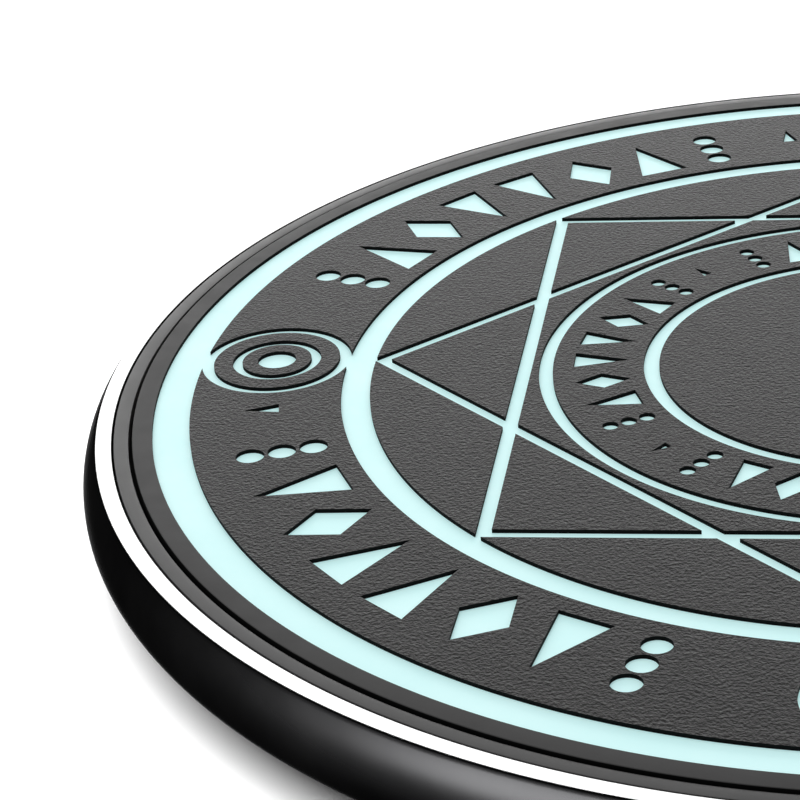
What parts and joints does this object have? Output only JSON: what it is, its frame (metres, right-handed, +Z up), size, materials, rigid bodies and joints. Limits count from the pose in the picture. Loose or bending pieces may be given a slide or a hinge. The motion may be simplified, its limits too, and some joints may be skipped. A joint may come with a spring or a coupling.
{
  "type": "wireless charging pad",
  "caption": "Round low charging pad: black dished housing, white edge light ring, grey bezel and a dark panel with etched light channels in rings, star and target shapes.",
  "frame": {"origin": "centre of the pad on the plane it rests on, the underside of the anti-slip ring", "axes": "+Z up through the charging face, +Y towards the USB-C inlet at the back, +X to the right seen from the front"},
  "size_m": [0.1006, 0.1005, 0.0074],
  "materials": {
    "gloss_black_housing": "high gloss black polycarbonate",
    "charcoal_textured_panel": "dark coating with a fine leather grain, matt",
    "lit_channel": "uncoated panel surface at the bottom of the etched channels, lit pale cyan",
    "satin_grey_bezel": "satin charcoal grey",
    "white_light_ring": "translucent white light diffuser",
    "black_silicone": "matt black silicone",
    "clear_acrylic": "clear light guide",
    "white_film": "white reflective film",
    "white_abs": "moulded white ABS",
    "white_led_board": "white solder mask",
    "led_package": "phosphor dome in a white package",
    "amber_polyimide": "amber polyimide",
    "copper_wire": "enamelled copper winding",
    "grey_ferrite": "sintered ferrite under film",
    "adhesive_tape": "double-sided adhesive",
    "black_foam": "closed-cell foam",
    "green_board": "green solder mask on glass epoxy",
    "chip_epoxy": "black moulding compound",
    "ceramic_capacitor": "tan ceramic with tinned ends",
    "inductor_body": "moulded ferrite composite",
    "usb_steel": "stamped stainless shell",
    "usb_black_insert": "black glass-filled plastic",
    "zinc_screw": "zinc plated steel"
  },
  "bodies": {
    "root": {"bottom_shell": "gloss_black_housing", "anti_slip_ring": "black_silicone", "edge_light_ring": "white_light_ring", "bezel_ring": "satin_grey_bezel", "top_panel": "charcoal_textured_panel", "light_guide_plate": "clear_acrylic", "reflector_film": "white_film", "mid_frame": "white_abs", "led_board": "white_led_board", "led_1": "led_package", "led_2": "led_package", "led_3": "led_package", "led_4": "led_package", "led_5": "led_package", "led_6": "led_package", "led_7": "led_package", "led_8": "led_package", "led_flex_tail": "amber_polyimide", "charging_coil": "copper_wire", "coil_inner_lead": "copper_wire", "coil_outer_lead": "copper_wire", "coil_insulation_film": "amber_polyimide", "foam_spacer": "black_foam", "ferrite_shield": "grey_ferrite", "ferrite_adhesive": "adhesive_tape", "thermistor": "chip_epoxy", "main_pcb": "green_board", "usb_c_shell": "usb_steel", "usb_c_insert": "usb_black_insert", "controller_chip": "chip_epoxy", "power_stage_chip": "chip_epoxy", "power_inductor": "inductor_body", "resonance_capacitor_1": "ceramic_capacitor", "resonance_capacitor_2": "ceramic_capacitor", "resonance_capacitor_3": "ceramic_capacitor", "input_capacitor": "ceramic_capacitor", "bridge_mosfet_1": "chip_epoxy", "bridge_mosfet_2": "chip_epoxy", "screw_1": "zinc_screw", "screw_2": "zinc_screw", "screw_3": "zinc_screw", "screw_4": "zinc_screw"}
  },
  "joints": []
}
